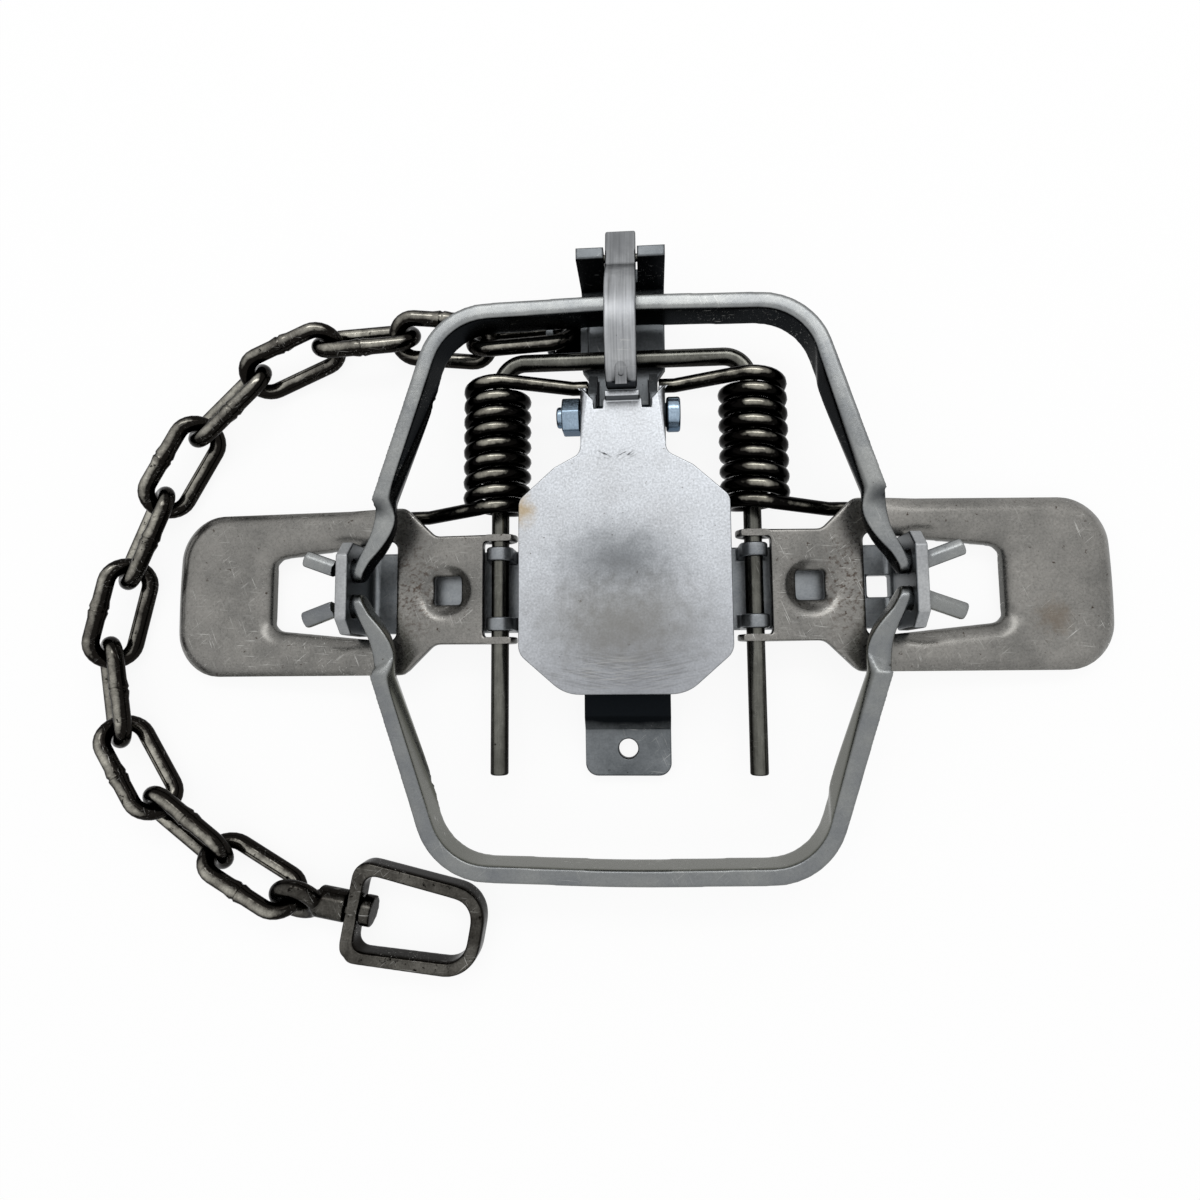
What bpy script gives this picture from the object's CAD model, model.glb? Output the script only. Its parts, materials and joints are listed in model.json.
import json
import math

import bpy
from mathutils import Matrix, Vector


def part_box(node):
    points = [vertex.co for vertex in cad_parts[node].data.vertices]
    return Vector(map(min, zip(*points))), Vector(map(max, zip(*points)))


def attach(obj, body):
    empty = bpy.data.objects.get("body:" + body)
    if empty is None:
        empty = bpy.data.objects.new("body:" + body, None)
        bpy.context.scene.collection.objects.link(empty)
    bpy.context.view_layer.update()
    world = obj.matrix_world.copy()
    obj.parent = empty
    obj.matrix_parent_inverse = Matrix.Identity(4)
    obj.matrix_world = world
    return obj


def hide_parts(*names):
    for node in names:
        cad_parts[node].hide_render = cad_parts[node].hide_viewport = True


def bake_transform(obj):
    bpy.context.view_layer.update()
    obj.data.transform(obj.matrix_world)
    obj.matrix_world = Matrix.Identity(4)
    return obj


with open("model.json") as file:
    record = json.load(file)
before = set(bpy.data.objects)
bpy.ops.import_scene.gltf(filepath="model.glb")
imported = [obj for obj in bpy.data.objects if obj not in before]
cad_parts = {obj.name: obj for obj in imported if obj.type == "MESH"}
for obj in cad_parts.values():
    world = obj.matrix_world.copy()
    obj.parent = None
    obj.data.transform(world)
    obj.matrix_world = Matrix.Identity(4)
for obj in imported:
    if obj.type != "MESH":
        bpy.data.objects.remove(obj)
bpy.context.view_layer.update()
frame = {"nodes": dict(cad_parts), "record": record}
mm = 0.001

# Base bar: one strip of mild steel, sheared to width and bent up at both ends into the jaw posts.
# Its four lugs hold the spring rod. The faces keep a dull oiled skin, and the edges are rubbed bright.

body_of = {node: body for body, nodes in frame["record"]["behaviour"]["bodies"].items() for node in nodes}
sharp_angle = math.radians(32)
# A solid's triangles become whole faces where their corners are this close and they lie this flat.
corner_gap, flat_angle = 0.002 * mm, math.radians(0.6)
strip_edge, post_shoulder, upward = 0.5 * mm, 15 * mm, 0.5

# Sizes of what shows on worn steel. The grain is drawn coarser than it is, so that it shows.
patch_size, grain_size, grain_depth = 13 * mm, 0.5 * mm, 0.06 * mm
pit_size, ragged_size = 1.7 * mm, 3 * mm
rub_size, hair_width, hair_stretch = 16 * mm, 0.17 * mm, (1, 40, 5)
hair_turns, hair_colour = (0.4, 1.5, -0.9), "d6d6d2"
blotch_roughness = 0.65
# Settings of a mix of two colours, which go into its sockets 6 and 7 and come out of socket 2.
laid_over = {"data_type": "RGBA"}
multiplied = {"data_type": "RGBA", "blend_type": "MULTIPLY"}


def srgb(text):
    """Linear colour of an sRGB hex value."""
    parts = [int(text[i:i + 2], 16) / 255 for i in (0, 2, 4)]
    return [p / 12.92 if p <= 0.04045 else ((p + 0.055) / 1.055) ** 2.4 for p in parts] + [1]


def add(tree, kind, settings=None, inputs=None):
    """Adds a node with its settings. An input that is a socket is linked, and any other is set."""
    node = tree.nodes.new(kind)
    for key, value in (settings or {}).items():
        setattr(node, key, value)
    for key, value in (inputs or {}).items():
        if isinstance(value, bpy.types.NodeSocket):
            tree.links.new(value, node.inputs[key])
        else:
            node.inputs[key].default_value = value
    return node


def mottle(tree, place, size, detail, low, high, to_low=0.0, to_high=1.0):
    """Uneven share over a surface, in blotches of a size in metres. Their levels from low to high are spread
    over the range from to_low to to_high."""
    blotches = add(tree, "ShaderNodeTexNoise", None,
                   {"Vector": place, "Scale": 1 / size, "Detail": detail, "Roughness": blotch_roughness})
    spread = add(tree, "ShaderNodeMapRange", None,
                 {"Value": blotches.outputs[0], "From Min": low, "From Max": high,
                  "To Min": to_low, "To Max": to_high})
    return spread.outputs[0]


def worn_steel(name, top, side, patch, pit, rough, pits=0.0, hairs=0.3, grain=0.17, streak=(1, 1, 1),
               ragged=0.06, glance=0.6, crest=0.35):
    """Bare steel, rubbed to the top colour where it lies level and dark with its old skin where it stands up.
    patch and pit are the colours of its dull patches and its pits. pits, hairs and grain say how strong these
    are, streak how the grain is drawn out, and ragged how uneven the edge of the rubbed part is. crest is how
    level a face is where the rubbing starts, and glance is the shine that is left at a glancing angle."""
    material = bpy.data.materials.new(name)
    material.use_nodes = True
    tree = material.node_tree
    shader = tree.nodes["Principled BSDF"]
    shader.inputs["Metallic"].default_value = 1
    shader.inputs["Specular Tint"].default_value = (glance, glance, glance, 1)
    places = add(tree, "ShaderNodeTexCoord")
    place = places.outputs["Object"]
    drawn = add(tree, "ShaderNodeMapping", None, {"Vector": place, "Scale": streak}).outputs[0]

    patches = mottle(tree, place, patch_size, detail=5, low=0.36, high=0.66)
    rubbed = add(tree, "ShaderNodeMix", laid_over, {"Factor": patches, 6: srgb(top), 7: srgb(patch)})
    facing = add(tree, "ShaderNodeSeparateXYZ", None, {0: places.outputs["Normal"]})
    level = add(tree, "ShaderNodeMath", {"operation": "ABSOLUTE"}, {0: facing.outputs["Z"]})
    shift = mottle(tree, place, ragged_size, detail=3, low=0.3, high=0.7, to_low=-ragged, to_high=ragged)
    uneven = add(tree, "ShaderNodeMath", {"operation": "ADD"}, {0: level.outputs[0], 1: shift})
    # The later the rubbing starts, the later it is full.
    full = 0.75 + 0.35 * crest
    bare = add(tree, "ShaderNodeMapRange", None,
               {"Value": uneven.outputs[0], "From Min": crest, "From Max": full})
    colour = add(tree, "ShaderNodeMix", laid_over,
                 {"Factor": bare.outputs[0], 6: srgb(side), 7: rubbed.outputs[2]})
    grains = mottle(tree, drawn, grain_size, detail=3, low=0.28, high=0.72,
                    to_low=1 - grain, to_high=1 + grain)
    colour = add(tree, "ShaderNodeMix", multiplied, {"Factor": 1.0, 6: colour.outputs[2], 7: grains})
    pitted = mottle(tree, place, pit_size, detail=4, low=0.7 - pits, high=0.76 - pits)
    colour = add(tree, "ShaderNodeMix", laid_over, {"Factor": pitted, 6: colour.outputs[2], 7: srgb(pit)})
    handled = mottle(tree, place, rub_size, detail=1, low=0.42, high=0.6, to_high=hairs)
    for turn in hair_turns:
        along = add(tree, "ShaderNodeMapping", {"vector_type": "TEXTURE"},
                    {"Vector": place, "Rotation": (0, 0, turn), "Scale": hair_stretch})
        lines = mottle(tree, along.outputs[0], hair_width, detail=1, low=0.69, high=0.77)
        hair = add(tree, "ShaderNodeMath", {"operation": "MULTIPLY"}, {0: lines, 1: handled})
        colour = add(tree, "ShaderNodeMix", laid_over,
                     {"Factor": hair.outputs[0], 6: colour.outputs[2], 7: srgb(hair_colour)})
    tree.links.new(colour.outputs[2], shader.inputs["Base Color"])

    gloss = mottle(tree, drawn, grain_size, detail=3, low=0.25, high=0.75,
                   to_low=rough - 0.06, to_high=rough + 0.09)
    tree.links.new(gloss, shader.inputs["Roughness"])
    relief = mottle(tree, drawn, grain_size, detail=3, low=0, high=1)
    bump = add(tree, "ShaderNodeBump", None,
               {"Strength": 0.5 * rough, "Distance": grain_depth, "Height": relief})
    tree.links.new(bump.outputs[0], shader.inputs["Normal"])
    return material


def choose(piece):
    """Makes a piece the only one selected."""
    bpy.ops.object.select_all(action="DESELECT")
    bpy.context.view_layer.objects.active = piece
    piece.select_set(True)


def take(node, name):
    """Copy of a CAD solid with its triangles merged to whole faces, ready to be worked on."""
    piece = bpy.data.objects.new(name, frame["nodes"][node].data.copy())
    bpy.context.scene.collection.objects.link(piece)
    choose(piece)
    bpy.ops.object.mode_set(mode="EDIT")
    bpy.ops.mesh.select_all(action="SELECT")
    bpy.ops.mesh.remove_doubles(threshold=corner_gap)
    bpy.ops.mesh.dissolve_limited(angle_limit=flat_angle)
    bpy.ops.object.mode_set(mode="OBJECT")
    piece.data.materials.clear()
    return piece


def soften(piece, radius, share=None, steps=3, finish=-1):
    """Rounds the sharp edges. share(middle, normals) is the part of the radius that an edge gets.
    finish is the place of the rounded faces' material in the piece's list, or -1 for their neighbours'."""
    choose(piece)
    mesh = piece.data
    normals = {}
    for face in mesh.polygons:
        for key in face.edge_keys:
            normals.setdefault(key, []).append(face.normal)
    weights = []
    for edge in mesh.edges:
        sides = normals.get(edge.key, [])
        sharp = len(sides) == 2 and sides[0].angle(sides[1], 0) > sharp_angle
        middle = (mesh.vertices[edge.vertices[0]].co + mesh.vertices[edge.vertices[1]].co) / 2
        weights.append(float(share(middle, sides) if share else 1) if sharp else 0.0)
    mesh.attributes.new("bevel_weight_edge", "FLOAT", "EDGE").data.foreach_set("value", weights)
    bevel = piece.modifiers.new("edges", "BEVEL")
    bevel.limit_method = "WEIGHT"
    bevel.width = radius
    bevel.segments = steps
    bevel.material = finish
    bevel.use_clamp_overlap = False
    bpy.ops.object.modifier_apply(modifier="edges")
    mesh.attributes.remove(mesh.attributes["bevel_weight_edge"])


def settle(piece, node, *materials, crease=sharp_angle):
    """Finishes a piece: its materials, smooth shading up to a crease, and the solid that it stands for."""
    for material in materials:
        piece.data.materials.append(material)
    choose(piece)
    bpy.ops.object.shade_smooth_by_angle(angle=crease)
    piece.modifiers.new("normals", "WEIGHTED_NORMAL").keep_sharp = True
    bpy.ops.object.modifier_apply(modifier="normals")
    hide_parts(node)
    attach(piece, body_of[node])


# Hot-rolled strip: a grey, slightly blue skin that is duller in patches.
strip_steel = worn_steel("oiled_strip_steel", top="979b9e", side="5a5e61", patch="7c8084", pit="2f2b28",
                         rough=0.36, glance=1)
# The same steel where handling has rubbed it: paler and more even.
rubbed_steel = worn_steel("rubbed_steel_edge", top="b0b2b3", side="84878a", patch="9a9c9e", pit="5a554f",
                          rough=0.4, hairs=0.2, glance=1)

base_bar = take("base_bar", "base_strip")
for face in base_bar.data.polygons:
    on_post_top = face.normal.z > upward and face.center.z > post_shoulder
    face.material_index = 1 if on_post_top else 0
soften(base_bar, strip_edge, finish=1)
settle(base_bar, "base_bar", strip_steel, rubbed_steel)

# Cross piece: a second strip of mild steel across the base bar, stepped down in front to the stake tab.
# Its rear end is bent up into the dog post. It is darker than the base bar, as it lies in the dirt.

straight_up = 0.9
line_fade = 0.14


def stain(material, colour, strength, middle, reach, ragged, lines=None):
    """Lays one more colour over a material in a soft oval spot, with its middle and reach in millimetres.
    lines keeps the colour to fine lines in the spot: their turn, how many times as long as wide they are,
    their width in millimetres, and the level of the noise from which they show."""
    tree = material.node_tree
    base = tree.nodes["Principled BSDF"].inputs["Base Color"]
    place = tree.nodes["Texture Coordinate"].outputs["Object"]
    oval = add(tree, "ShaderNodeMapping", {"vector_type": "TEXTURE"},
               {"Vector": place, "Location": [m * mm for m in middle], "Scale": [r * mm for r in reach]})
    out = add(tree, "ShaderNodeVectorMath", {"operation": "LENGTH"}, {0: oval.outputs[0]})
    shift = mottle(tree, place, ragged_size, detail=4, low=0.3, high=0.7, to_low=-ragged, to_high=ragged)
    edge = add(tree, "ShaderNodeMath", {"operation": "ADD"}, {0: out.outputs["Value"], 1: shift})
    share = add(tree, "ShaderNodeMapRange", {"interpolation_type": "SMOOTHSTEP"},
                {"Value": edge.outputs[0], "From Min": 1.0, "From Max": 0.0})
    if lines:
        turn, length, width, level = lines
        along = add(tree, "ShaderNodeMapping", {"vector_type": "TEXTURE"},
                    {"Vector": place, "Rotation": (0, 0, turn), "Scale": (length, 1, 1)})
        drawn = mottle(tree, along.outputs[0], width * mm, detail=2, low=level, high=level + line_fade)
        share = add(tree, "ShaderNodeMath", {"operation": "MULTIPLY"}, {0: drawn, 1: share.outputs[0]})
    amount = add(tree, "ShaderNodeMath", {"operation": "MULTIPLY"}, {0: share.outputs[0], 1: strength})
    stained = add(tree, "ShaderNodeMix", laid_over,
                  {"Factor": amount.outputs[0], 6: base.links[0].from_socket, 7: srgb(colour)})
    tree.links.new(stained.outputs[2], base)


# Strip with most of its oil-black skin left: dull and dark, with scratches that shine through.
dull_strip_steel = worn_steel("dull_strip_steel", top="777b7e", side="1a1c1f", patch="5c6063", pit="24211f",
                              rough=0.4, pits=0.02, hairs=0.6)
# The bend to the stake tab lies in the pan's shade and has kept its black skin.
stain(dull_strip_steel, "14171a", 2.5, middle=(0, -26.5, 4), reach=(40, 9, 14), ragged=0.02)


def on_top(middle, sides):
    """Edges of the faces that look straight up."""
    return max(normal.z for normal in sides) > straight_up


cross_piece = take("cross_piece", "cross_strip")
soften(cross_piece, strip_edge, on_top, finish=1)
settle(cross_piece, "cross_piece", dull_strip_steel, rubbed_steel)

# Rivets: two steel rivets that clamp the cross piece to the base bar, headed under the pan.
# The heads were upset cold, so they are as smooth as the strip and have rounded rims.

rivet_edge = 0.3 * mm

base_rivets = take("base_rivets", "rivet_pair")
soften(base_rivets, rivet_edge)
settle(base_rivets, "base_rivets", strip_steel)

# Spring rod: one round rod bent to a U. Its legs are hinge pins for the levers and cores for the springs.
# It is drawn steel with a thin black skin that has worn to grey on top. The lugs of the base bar hold it.

rod_edge = 0.5 * mm

# Drawn rod: a grey line of light along its top, with the fine lengthwise lines of the die.
rod_steel = worn_steel("drawn_rod_steel", top="73736d", side="201f1d", patch="54544f", pit="1d1916",
                       rough=0.24, pits=0.02, hairs=0.2, grain=0.25, streak=(1, 0.1, 1), crest=0.62)

spring_rod = take("spring_rod", "spring_rod_bent")
soften(spring_rod, rod_edge)
settle(spring_rod, "spring_rod", rod_steel)

# Springs: each is one length of black spring wire, wound round a leg of the rod.
# The outer leg bears up under the lever, and the inner leg is stopped by an ear of the cross piece.

wire_d, wire_edge, wire_seam = 3.4 * mm, 0.4 * mm, 0.01 * mm
coil_r, coil_turns = 6.45 * mm, 8
coil_axis = Vector((30.6, 0, 8.65)) * mm
# How far inside the ends of the solid's box the line of the wire starts and ends.
end_inset = 1.55 * mm
# The two ends of each leg, seen along the coil's axis: where it leaves the coil, and its tip.
outer_leg = (Vector((-17.6, -3.66)) * mm, Vector((-22.8, -4.0)) * mm)
inner_leg = (Vector((18.4, -0.6)) * mm, Vector((22.1, -0.6)) * mm)
points_per_turn, section_steps = 28, 4

# Oil-tempered wire: near black, worn to grey on the crests, with a film of oil that makes them shine.
spring_steel = worn_steel("oil_tempered_wire", top="b4b1a5", side="0d0c0b", patch="8b887e", pit="14110e",
                          rough=0.14, hairs=0.05, crest=0.86)


def leave_angle(point, side):
    """Angle on the coil where a straight leg from the point touches it."""
    return math.atan2(point.y, point.x) + side * math.acos(coil_r / point.length)


def wind(name, node, side):
    """Winds one spring as a curve with the wire's section, and makes it a mesh."""
    low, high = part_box(node)
    front, rear = low.y + end_inset, high.y - end_inset
    start, stop = leave_angle(outer_leg[0], -1), leave_angle(inner_leg[0], 1)
    sweep = 2 * math.pi * coil_turns + (start - stop) % (2 * math.pi)
    count = round(sweep / (2 * math.pi) * points_per_turn)
    line = [(p.x, front, p.y) for p in reversed(outer_leg)]
    for i in range(count + 1):
        angle = start - sweep * i / count
        line.append((coil_r * math.cos(angle), front + (rear - front) * i / count, coil_r * math.sin(angle)))
    line += [(p.x, rear, p.y) for p in inner_leg]
    curve = bpy.data.curves.new(name, "CURVE")
    curve.dimensions = "3D"
    curve.bevel_depth = wire_d / 2
    curve.bevel_resolution = section_steps
    curve.use_fill_caps = True
    spline = curve.splines.new("POLY")
    spline.points.add(len(line) - 1)
    for point, (x, y, z) in zip(spline.points, line):
        point.co = (side * (coil_axis.x - x), y, coil_axis.z + z, 1)
    spring = bpy.data.objects.new(name, curve)
    bpy.context.scene.collection.objects.link(spring)
    choose(spring)
    bpy.ops.object.convert(target="MESH")
    bpy.ops.object.mode_set(mode="EDIT")
    bpy.ops.mesh.select_all(action="SELECT")
    bpy.ops.mesh.remove_doubles(threshold=wire_seam)
    bpy.ops.mesh.normals_make_consistent(inside=False)
    bpy.ops.object.mode_set(mode="OBJECT")
    soften(spring, wire_edge, steps=2)
    spring.data.materials.append(spring_steel)
    bpy.ops.object.shade_smooth_by_angle(angle=sharp_angle)
    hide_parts(node)
    # The outer leg turns with the lever, and the first turns of the coil wind up behind it.
    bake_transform(spring)


wind("left_spring_coil", "left_spring", -1)
wind("right_spring_coil", "right_spring", 1)

# Levers: pressed from sheet steel. The edges and the rim of the window are turned down over a die,
# and a dish with a square hole stiffens the neck. Two ears hinge each lever on the rod.

joint_of = {joint["child"]: joint for joint in frame["record"]["behaviour"]["joints"]}
rod_place = Vector(joint_of["right_lever"]["pos_m"])
lever_drop = math.radians(3.8)
# The sizes of a lever that is laid level, with its hinge at the origin and its length along X.
sheet_top, sheet_under = 2.6 * mm, 0.4 * mm
lever_reach, lever_half, tip_r = 83 * mm, 20.2 * mm, 11 * mm
window_in, window_out, window_r = 25 * mm, 58 * mm, 3 * mm
window_in_half, window_out_half = 12.3 * mm, 8.9 * mm
# Width and depth of the turned-down edges, and where along the lever they start and are full.
edge_roll, window_roll = (3.8 * mm, 1.9 * mm), (4.8 * mm, 2.4 * mm)
roll_start, roll_full = 26 * mm, 38 * mm
# The rim under the paddle's edge starts here in the solid, and its end is cut back to a slope.
rim_start, rim_taper = 37 * mm, 9 * mm
tip_bow, bow_start = 0.9 * mm, 66.4 * mm
dish_middle, dish_r, dish_floor_r, dish_depth = Vector((13, 0, 0)) * mm, 8.5 * mm, 3.4 * mm, 1.0 * mm
sheet_grid, dish_passes, neck_share, sheet_passes = 0.4 * mm, 40, 0.08, 4
# A corner this close to a line or a level of the solid lies on it.
touch = 0.05 * mm

# Pickled sheet: even mid grey with a satin grain, small rust pits and hair scratches from use.
sheet_steel = worn_steel("pressed_sheet_steel", top="8c8a86", side="5c5c5a", patch="747370", pit="3b3129",
                         rough=0.29, pits=0.045, hairs=0.9, grain=0.22, glance=0.9)
# Rust has started on both necks, beside the jaw posts, and in one spot on the right paddle.
for neck_x in (-51, 51):
    stain(sheet_steel, "3f3025", 0.8, middle=(neck_x, 0, 9), reach=(9, 20, 9), ragged=0.1,
          lines=(0.3, 1.25, 1.0, 0.5))
stain(sheet_steel, "6e5f4e", 0.5, middle=(98, -8, 5), reach=(6, 6, 9), ragged=0.3)


def remesh(piece, voxel):
    """Gives a piece even, close-set faces, so that it can be shaped and smoothed all over."""
    choose(piece)
    grid = piece.modifiers.new("grid", "REMESH")
    grid.mode = "VOXEL"
    grid.voxel_size = voxel
    bpy.ops.object.modifier_apply(modifier="grid")


def smooth(piece, passes, share=None, level=True):
    """Smooths a piece, by share(point) of the full amount. level=False leaves its plan alone."""
    choose(piece)
    group = piece.vertex_groups.new(name="share")
    for v in piece.data.vertices:
        group.add([v.index], share(v.co) if share else 1, "REPLACE")
    relax = piece.modifiers.new("relax", "SMOOTH")
    relax.use_x = relax.use_y = level
    relax.factor = 0.5
    relax.iterations = passes
    relax.vertex_group = "share"
    bpy.ops.object.modifier_apply(modifier="relax")
    piece.vertex_groups.clear()


def ramp(value, start, end):
    """0 up to start, 1 from end on."""
    return min(1, max(0, (value - start) / (end - start)))


def past_corner(a, b, r):
    """Distance outside a corner of radius r, from the distances past its two sides."""
    a, b = a + r, b + r
    return math.hypot(max(a, 0), max(b, 0)) + min(0, max(a, b)) - r


def rolled(distance, roll):
    """How far a sheet has dropped at a distance from its edge. roll is the roll's width and depth."""
    width, depth = roll
    return depth * (1 - ramp(distance, 0, width)) ** 2


def press(p):
    """Turns the sheet down along its outside and round the window, sinks the dish and bows the tip."""
    edge = -past_corner(p.x - lever_reach, abs(p.y) - lever_half, tip_r)
    half = window_in_half + (window_out_half - window_in_half) * ramp(p.x, window_in, window_out)
    rim = past_corner(p.x - window_out, abs(p.y) - half, window_r)
    share = ramp(p.x, roll_start, roll_full)
    top = sheet_top - share * rolled(edge, edge_roll)
    inside = ramp((p - dish_middle).xy.length, dish_r, dish_floor_r)
    z = min(p.z, top) - share * rolled(rim, window_roll) - dish_depth * inside ** 2 * (3 - 2 * inside)
    x = p.x - tip_bow * (p.y / lever_half) ** 2 * ramp(p.x, bow_start, lever_reach)
    return Vector((x, p.y, z))


def press_share(p):
    """How softly the sheet is pressed: most at the dish, and hardly elsewhere."""
    return 1 if (p - dish_middle).xy.length < dish_r else neck_share


to_level = Matrix.Rotation(-lever_drop, 4, "Y") @ Matrix.Translation(-rod_place)
lever = take("right_lever", "right_lever_pressed")
lever.data.transform(to_level)
for v in lever.data.vertices:
    under_sheet = v.co.z < sheet_under - touch
    if under_sheet and abs(v.co.x - rim_start) < touch:
        v.co.x += rim_taper
remesh(lever, sheet_grid)
smooth(lever, dish_passes, press_share, level=False)
for v in lever.data.vertices:
    v.co = press(v.co)
smooth(lever, sheet_passes)
left_lever = bpy.data.objects.new("left_lever_pressed", lever.data.copy())
bpy.context.scene.collection.objects.link(left_lever)
lever.data.transform(to_level.inverted())
left_lever.data.transform(Matrix.Scale(-1, 4, (1, 0, 0)) @ to_level.inverted())
left_lever.data.flip_normals()
settle(lever, "right_lever", sheet_steel, crease=math.pi)
settle(left_lever, "left_lever", sheet_steel, crease=math.pi)

# Jaws: flat steel bar on edge, bent to a wide D. The arm ends are forged down and curve out to pins, which
# sit in the posts and are bent over outside. The top is rubbed bright, and the sides keep their dark skin.

pivot = Vector(joint_of["rear_jaw"]["pos_m"])
jaw_lean, front_drop = math.radians(17.5), math.radians(4)
# The sizes of a jaw that has its pivot at the origin and its arms along Y.
bar_t, end_half = 3.8 * mm, 2.9 * mm
arm_x, end_x = 63.6 * mm, 62.9 * mm
# The forged end stops at a step on top, and the bar is deeper past a step underneath.
forged_l, step_back, step_skew = 16 * mm, 2 * mm, 2.5 * mm
deep_l, deep_z, deep_back = 44 * mm, -3.2 * mm, 3 * mm
# What the hammer does to an end: how far it swells inwards and over what run,
# and how far it curves out to the pin and bows, and from where along the arm.
end_swell, swell_run = 0.5 * mm, 5 * mm
end_curve, curve_from, curve_power = 2.6 * mm, 9 * mm, 1.6
end_bow, bow_from = 1.5 * mm, -1 * mm
# The tail of the pin, outside the post: hammered to a bar with a low ridge.
tail_start, tail_turn = Vector((66.4, 0, 0)) * mm, Matrix.Rotation(math.radians(20), 4, "Z")
tail_half, tail_ridge, tail_gap = 1.9 * mm, 0.45, 0.3 * mm
bar_grid, forge_passes, bar_share = 0.33 * mm, 22, 0.9

# Forged bar with most of its skin left: a bright line on top of black sides.
rear_bar_steel = worn_steel("forged_bar_steel", top="959796", side="1b1d1f", patch="7a7d7f", pit="4f4a45",
                            rough=0.27, grain=0.1, ragged=0.02, glance=0.5)
# The skin is left on the slopes of the two forged steps.
for step_x in (-57.4, 57.4):
    stain(rear_bar_steel, "34373a", 0.85, middle=(step_x, 18.6, 17), reach=(6, 3.8, 8), ragged=0.12)
# The front jaw is rubbed on its sides too, so it is grey all over.
front_bar_steel = worn_steel("forged_bar_steel_rubbed", top="878988", side="55564f", patch="74777a",
                             pit="4f4a45", rough=0.27, grain=0.1, ragged=0.02, glance=1)


def depth_in_bar(p):
    """0 on the outside of a jaw's arm and 1 on its inside."""
    return ramp(min(end_x, arm_x - p.y * math.tan(jaw_lean)) - p.x, 0, bar_t)


def forge(p):
    """Shapes a point of a jaw's right half: the end swells and curves out, and the tail is hammered."""
    if p.x > tail_start.x + tail_gap:
        along = tail_turn.inverted() @ (p - tail_start)
        along.y = max(-tail_half, min(tail_half, along.y))
        roof = tail_half - tail_ridge * abs(along.y)
        along.z = max(-roof, min(roof, along.z))
        return tail_turn @ along + tail_start
    if p.x < end_x and p.y < forged_l:
        swell = end_swell * ramp(p.y, forged_l, forged_l - swell_run)
        curve = end_curve * ramp(p.y, curve_from, -end_half) ** curve_power
        bow = end_bow * math.sin(math.pi * ramp(p.y, bow_from, forged_l))
        return p + Vector(((curve - swell) * depth_in_bar(p) - bow, 0, 0))
    return p


def mirrored(p):
    """The point on the other side of the trap's middle."""
    return Vector((-p.x, p.y, p.z))


def forge_share(p):
    """How softly the bar is worked: the forged ends most."""
    return 1 if p.y < forged_l else bar_share


jaw = take("rear_jaw", "rear_jaw_forged")
jaw.data.transform(Matrix.Translation(-pivot))
for v in jaw.data.vertices:
    if abs(v.co.y - forged_l) < touch and 0 < v.co.z < end_half + touch:
        v.co.y -= step_back + step_skew * depth_in_bar(Vector((abs(v.co.x), v.co.y, 0)))
    if abs(v.co.y - deep_l) < touch and abs(v.co.z - deep_z) < touch:
        v.co.y -= deep_back
remesh(jaw, bar_grid)
for v in jaw.data.vertices:
    v.co = forge(v.co) if v.co.x > 0 else mirrored(forge(mirrored(v.co)))
smooth(jaw, forge_passes, forge_share)
front_jaw = bpy.data.objects.new("front_jaw_forged", jaw.data.copy())
bpy.context.scene.collection.objects.link(front_jaw)
to_pivot = Matrix.Translation(pivot)
jaw.data.transform(to_pivot)
front_jaw.data.transform(Matrix.Scale(-1, 4, (0, 1, 0)) @ to_pivot @ Matrix.Rotation(-front_drop, 4, "X"))
front_jaw.data.flip_normals()
settle(jaw, "rear_jaw", rear_bar_steel, crease=math.pi)
settle(front_jaw, "front_jaw", front_bar_steel, crease=math.pi)

# Pan: the trigger plate, blanked from sheet steel and tumbled to a pale satin.
# The sides of its neck are turned down round the ears and hinge on the pan bolt.

neck_half, neck_start, pan_top = 9.8 * mm, 32.5 * mm, 17.5 * mm
neck_bend, neck_bend_steps, plate_edge = 1.7 * mm, 5, 0.35 * mm

# Tumbled sheet: pale and even, with a fine sparkle.
pan_steel = worn_steel("tumbled_sheet_steel", top="cbcfd4", side="45484b", patch="bfc2c6", pit="5b554d",
                       rough=0.33, pits=0.02, hairs=0.2, grain=0.24, glance=1)
# What use has left on it. Each stain is a colour, its strength, middle, reach, ragged edge and lines.
scratch, nick = (25, 0.4, 0.46), (5, 0.7, 0.5)
pan_stains = (
    # The front half is duller, with a dark smudge in the middle and a brown one in front of it.
    ("83858a", 0.8, (2, -20, 17), (44, 38, 20), 0.06),
    ("5c5f61", 0.75, (-1, 5.5, 17), (21, 13, 12), 0.1),
    ("706d64", 0.6, (-1, -9, 17), (27, 15, 12), 0.15),
    # Dark scratches run across the front half and turn up at both sides, with pale ones between them.
    ("55534c", 0.35, (-8, -20, 17), (17, 7, 9), 0.1, (-0.2, *scratch)),
    ("55534c", 0.35, (8, -20, 17), (17, 7, 9), 0.1, (0.2, *scratch)),
    ("d8d8d4", 0.25, (0, -20, 17), (20, 7, 9), 0.1, (0.05, 25, 0.3, 0.5)),
    # A spot of rust at the left edge.
    ("a98f5d", 0.7, (-23, 17, 17), (4, 5, 9), 0.3),
    # Two groups of dark nicks at the root of the neck.
    ("2c2d2e", 1.0, (-4.5, 29.5, 17), (3.4, 1.8, 9), 0.1, (-0.5, *nick)),
    ("2c2d2e", 1.0, (0.5, 29.5, 17), (3.4, 1.8, 9), 0.1, (0.5, *nick)),
)
for one_stain in pan_stains:
    stain(pan_steel, *one_stain)


def on_neck_bend(middle, sides):
    """Edges where the neck's sides are turned down."""
    at_side = abs(abs(middle.x) - neck_half) < touch
    return at_side and abs(middle.z - pan_top) < touch and middle.y > neck_start


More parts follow.
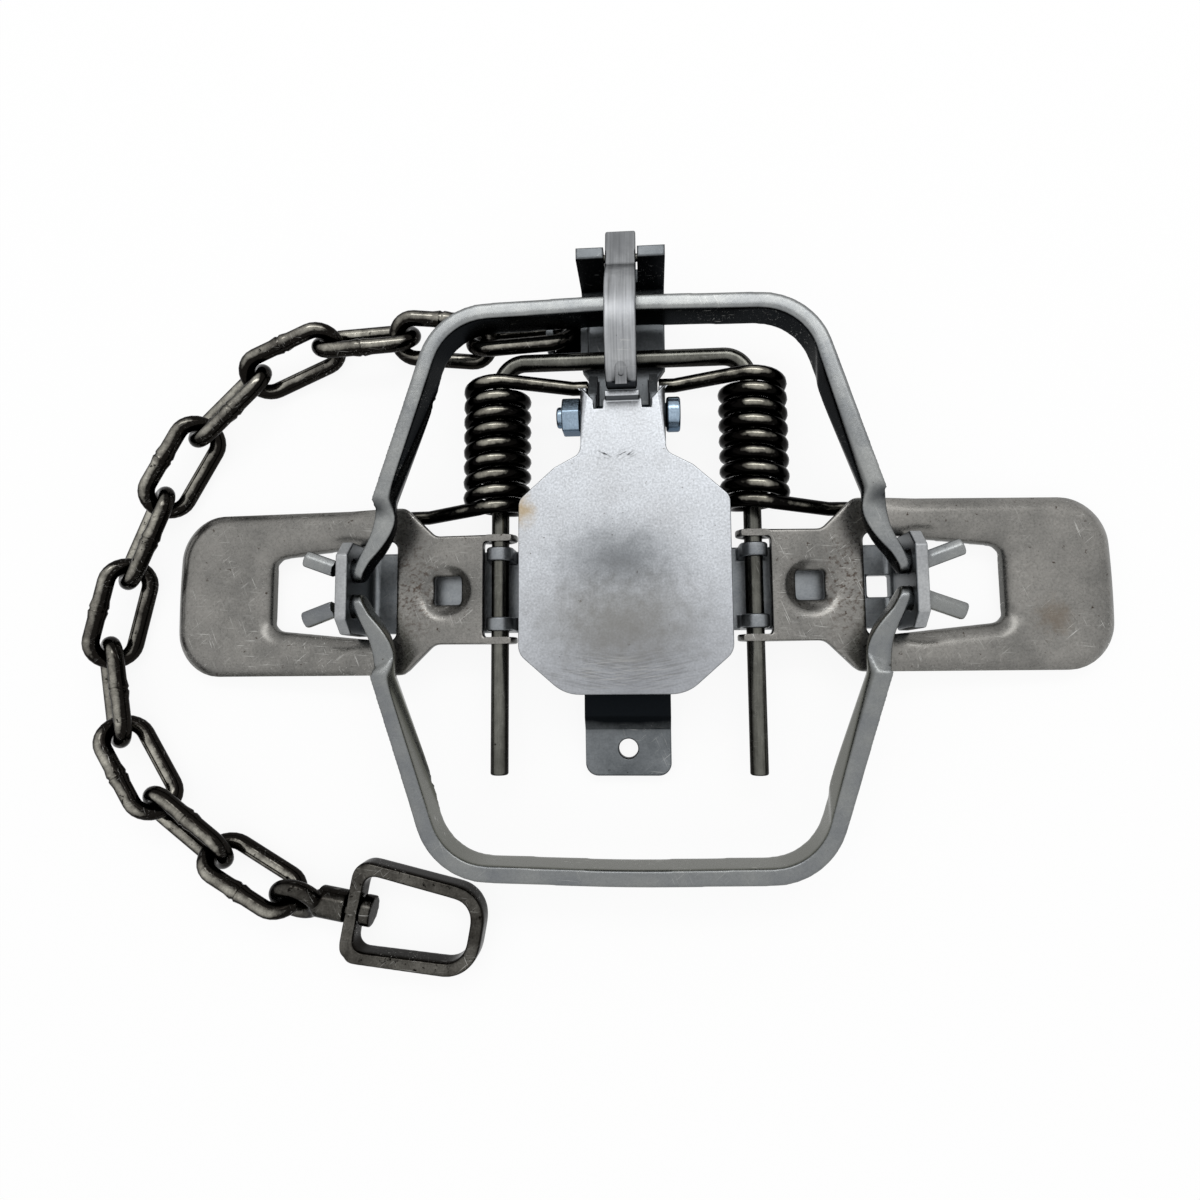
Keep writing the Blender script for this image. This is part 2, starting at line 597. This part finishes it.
pan = take("pan", "pan_plate")
soften(pan, neck_bend, on_neck_bend, steps=neck_bend_steps)
soften(pan, plate_edge)
settle(pan, "pan", pan_steel)

# Pan bolt and nut: a hexagon bolt through the cross piece's ears and the pan's flanges, and its nut.
# Both are steel with a zinc plate. The nut is drawn up until the pan moves stiffly.

bolt_edge, nut_edge = 0.6 * mm, 0.45 * mm

# Bright zinc: pale with a blue cast.
zinc = worn_steel("bright_zinc_plate", top="9fb2c4", side="54677a", patch="8295a6", pit="4a4f55",
                  rough=0.2, hairs=0.1)

pan_bolt = take("pan_bolt", "pan_bolt_plated")
soften(pan_bolt, bolt_edge)
settle(pan_bolt, "pan_bolt", zinc)
pan_nut = take("pan_nut", "pan_nut_plated")
soften(pan_nut, nut_edge)
settle(pan_nut, "pan_nut", zinc)

# Dog and its pin: an arched steel bar that swings on a pin in the dog post and reaches over the rear jaw
# to the pan. It is sheared from strip and bent, and a short slot with a round end is pressed into its tip.

dog_edge, pin_edge = 0.5 * mm, 0.2 * mm
tip_slope = math.radians(36)
slot_end = Vector((0, 46.4, 26.0)) * mm
# The slot, its round end and a dot in it, each with its place and size in millimetres.
slot_cuts = (("cube", (0, -3.5, 0), (2.6, 7, 1.8)),
             ("cylinder", (0, 0, 0), (2.6, 2.6, 1.8)),
             ("cylinder", (0, -1.6, -0.9), (1.2, 1.2, 1.2)))
round_sides = 32

# Ground bar: pale, with strong lengthwise lines from the wheel.
dog_steel = worn_steel("ground_bar_steel", top="a9abad", side="34373a", patch="95979a", pit="3a3632",
                       rough=0.38, grain=0.34, streak=(1, 0.02, 0.02))
# The rear end is duller than the rest, and dirt is left in the slot.
stain(dog_steel, "66686a", 0.75, middle=(0, 79, 22), reach=(14, 16, 16), ragged=0.1)
stain(dog_steel, "3c3f42", 0.6, middle=(0, 44.6, 24.6), reach=(1.7, 3, 2.4), ragged=0.02)

dog = take("dog", "dog_bar")
soften(dog, dog_edge, finish=1)
to_slot = Matrix.Translation(slot_end) @ Matrix.Rotation(tip_slope, 4, "X")
for shape, place, size in slot_cuts:
    bpy.ops.object.select_all(action="DESELECT")
    if shape == "cube":
        bpy.ops.mesh.primitive_cube_add(size=1)
    else:
        bpy.ops.mesh.primitive_cylinder_add(vertices=round_sides, radius=0.5, depth=1)
    cutter = bpy.context.object
    scale = Matrix.Diagonal(Vector(size) * mm).to_4x4()
    cutter.matrix_world = to_slot @ Matrix.Translation(Vector(place) * mm) @ scale
    choose(dog)
    cut = dog.modifiers.new("cut", "BOOLEAN")
    cut.object = cutter
    bpy.ops.object.modifier_apply(modifier="cut")
    bpy.data.objects.remove(cutter)
settle(dog, "dog", dog_steel, rubbed_steel)
dog_pin = take("dog_pin", "dog_hinge_pin")
soften(dog_pin, pin_edge, steps=2)
settle(dog_pin, "dog_pin", rod_steel)

# Chain: twelve links of round steel wire. Each is bent to an oval round the one before it,
# and welded in the middle of one side, where the wire swells.

link_r, link_run, wire_r = 4.8 * mm, 14.6 * mm, 1.9 * mm
wire_sides, bend_steps, link_seam = 20, 14, 0.02 * mm
# How far each link is rolled over as it lies, in degrees.
rolls = (46, -29, 48, -45, 45, -45, 45, -45, 45, -45, 45, -45)
# Swelling of the weld along one side: distance from the middle in millimetres, and the wire's size there.
weld = ((-2.4, 1.0), (-1.4, 1.08), (-0.6, 1.15), (-0.15, 1.03),
        (0.15, 1.03), (0.6, 1.14), (1.4, 1.09), (2.4, 1.0))

# Oiled wire: black in the hollows, with a narrow shine along the crests and many small pits.
chain_steel = worn_steel("oiled_chain_wire", top="bebbb0", side="191715", patch="6b6862", pit="100e0c",
                         rough=0.14, pits=0.07, grain=0.24, crest=0.84)

bpy.ops.object.select_all(action="DESELECT")
bpy.ops.mesh.primitive_circle_add(vertices=wire_sides, radius=wire_r, location=(-link_run / 2, link_r, 0),
                                  rotation=(0, math.pi / 2, 0))
link = bpy.context.object
bpy.ops.object.transform_apply(location=True, rotation=True, scale=True)
bpy.ops.object.mode_set(mode="EDIT")
bpy.ops.mesh.select_all(action="SELECT")
here, size = -link_run / 2, 1.0
for x, swell in weld + ((link_run / 2 / mm, 1.0),):
    bpy.ops.mesh.extrude_edges_move(TRANSFORM_OT_translate={"value": (x * mm - here, 0, 0)})
    bpy.ops.transform.resize(value=(1, swell / size, swell / size), center_override=(x * mm, link_r, 0))
    here, size = x * mm, swell
bpy.ops.mesh.spin(steps=bend_steps, angle=math.pi, center=(link_run / 2, 0, 0), axis=(0, 0, 1))
bpy.ops.mesh.extrude_edges_move(TRANSFORM_OT_translate={"value": (-link_run, 0, 0)})
bpy.ops.mesh.spin(steps=bend_steps, angle=math.pi, center=(-link_run / 2, 0, 0), axis=(0, 0, 1))
bpy.ops.mesh.select_all(action="SELECT")
bpy.ops.mesh.remove_doubles(threshold=link_seam)
bpy.ops.mesh.normals_make_consistent(inside=False)
bpy.ops.object.mode_set(mode="OBJECT")

links = ["chain_link_%02d" % (n + 1) for n in range(len(rolls))]
hinges = [Vector(joint_of[child]["pos_m"]) for child in links + ["swivel_eye"]]
for n, (node, roll) in enumerate(zip(links, rolls)):
    low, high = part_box(node)
    ahead = hinges[n + 1] - hinges[n]
    heading = math.atan2(ahead.y, ahead.x)
    # Every second link is turned end for end, so that its weld is on top, apart from the first, whose weld
    # would meet the spring rod.
    end_for_end = roll > 0 and n > 0
    piece = bpy.data.objects.new(node + "_wire", link.data.copy())
    bpy.context.scene.collection.objects.link(piece)
    piece.data.transform(Matrix.Translation((low + high) / 2) @ Matrix.Rotation(heading + math.pi, 4, "Z")
                         @ Matrix.Rotation(math.radians(-roll), 4, "X")
                         @ Matrix.Rotation(math.pi if end_for_end else 0, 4, "Z"))
    settle(piece, node, chain_steel)
bpy.data.objects.remove(link)

# Swivel: a forged steel eye on the last link, and a ring of steel strip that turns on its headed shank.
# The strip is bent to a loop, and its two ends lap on the side that the shank passes through.

swivel_place = Vector(joint_of["swivel_eye"]["pos_m"])
swivel_axis = Vector(joint_of["swivel_ring"]["axis"])
# The lap shows as a groove along the strip's top: its place out from the eye's hinge, and its size.
lap_place, strip_top = 16.35 * mm, 6.2 * mm
lap_half, lap_depth = 0.6 * mm, 1.6 * mm
eye_grid, eye_passes = 0.3 * mm, 8
ring_grid, ring_passes = 0.25 * mm, 80

# Blackened forging: darker and duller than the chain.
swivel_steel = worn_steel("blackened_forged_steel", top="5f5d58", side="161412", patch="2e2c29", pit="100e0c",
                          rough=0.2, pits=0.1, hairs=0.6, grain=0.3, crest=0.7)

eye = take("swivel_eye", "swivel_eye_forged")
remesh(eye, eye_grid)
smooth(eye, eye_passes)
settle(eye, "swivel_eye", swivel_steel, crease=math.pi)
ring = take("swivel_ring", "swivel_ring_bent")
remesh(ring, ring_grid)
for v in ring.data.vertices:
    if v.co.z > strip_top:
        from_lap = (v.co - swivel_place).dot(swivel_axis) - lap_place
        v.co.z -= lap_depth * ramp(abs(from_lap), lap_half, 0)
smooth(ring, ring_passes)
settle(ring, "swivel_ring", swivel_steel, crease=math.pi)

# Studio: a white paper floor, a pale room and one long softbox above and behind the trap.
# They aren't part of the object, and the camera stands where the photograph's stood.

floor_size, floor_gap, glow_share = 6, 0.05 * mm, 0.9
# The sky's strength at the horizon and overhead, and how high up it is full.
sky_low, sky_high, sky_full = 0.74, 0.97, 0.9
lamp_w, lamp_d, lamp_power, lamp_place = 0.6, 0.14, 0.8, Vector((0.03, 0.36, 0.5))

bpy.ops.object.select_all(action="DESELECT")
bpy.ops.mesh.primitive_plane_add(size=floor_size, location=(0, 0, -floor_gap))
floor = bpy.context.object
floor.name = "floor"

# White paper: it shows as the photograph's white ground, and still takes the trap's shadow.
paper = bpy.data.materials.new("white_paper")
paper.use_nodes = True
tree = paper.node_tree
tree.nodes.clear()
rays = add(tree, "ShaderNodeLightPath")
seen = add(tree, "ShaderNodeMath", {"operation": "MAXIMUM"},
           {0: rays.outputs["Is Camera Ray"], 1: rays.outputs["Is Glossy Ray"]})
seen = add(tree, "ShaderNodeMath", {"operation": "MAXIMUM"},
           {0: seen.outputs[0], 1: rays.outputs["Is Transmission Ray"]})
glowing = add(tree, "ShaderNodeMath", {"operation": "MULTIPLY"}, {0: seen.outputs[0], 1: glow_share})
matt = add(tree, "ShaderNodeBsdfDiffuse", None, {"Color": srgb("f2f2f2")})
glow = add(tree, "ShaderNodeEmission", None, {"Color": srgb("ffffff"), "Strength": 1})
surface = add(tree, "ShaderNodeMixShader", None,
              {0: glowing.outputs[0], 1: matt.outputs[0], 2: glow.outputs[0]})
add(tree, "ShaderNodeOutputMaterial", None, {"Surface": surface.outputs[0]})
floor.data.materials.append(paper)

# The sky is brightest overhead, as in a room with a pale ceiling.
world = bpy.data.worlds.new("studio")
bpy.context.scene.world = world
world.use_nodes = True
tree = world.node_tree
tree.nodes.clear()
height = add(tree, "ShaderNodeSeparateXYZ", None, {0: add(tree, "ShaderNodeTexCoord").outputs["Generated"]})
strength = add(tree, "ShaderNodeMapRange", None,
               {"Value": height.outputs["Z"], "From Max": sky_full, "To Min": sky_low, "To Max": sky_high})
sky = add(tree, "ShaderNodeBackground", None, {"Color": srgb("ffffff"), "Strength": strength.outputs[0]})
add(tree, "ShaderNodeOutputWorld", None, {"Surface": sky.outputs[0]})

lamp = bpy.data.lights.new("softbox", "AREA")
lamp.shape = "RECTANGLE"
lamp.size = lamp_w
lamp.size_y = lamp_d
lamp.energy = lamp_power
softbox = bpy.data.objects.new("softbox", lamp)
bpy.context.scene.collection.objects.link(softbox)
softbox.location = lamp_place
softbox.rotation_euler = (-lamp_place).to_track_quat("-Z", "Y").to_euler()

# The pinhole that fits the photograph: focal length in its pixels, place in millimetres, turn in radians.
photo_width = 1200
focal_length = 748.65
camera_place = Vector((5.9008, -19.9022, 183.6231)) * mm
camera_turn = (-0.0959286, -0.0692806, 0.0083725)

lens = bpy.data.cameras.new("camera")
lens.sensor_width = 36
lens.lens = lens.sensor_width * focal_length / photo_width
camera = bpy.data.objects.new("camera", lens)
bpy.context.scene.collection.objects.link(camera)
turn = Matrix.Identity(3)
for angle, axis in zip(camera_turn, "XYZ"):
    turn = turn @ Matrix.Rotation(angle, 3, axis)
camera.matrix_world = Matrix.Translation(camera_place) @ turn.transposed().to_4x4()
bpy.context.scene.camera = camera
bpy.context.scene.view_settings.view_transform = "Standard"
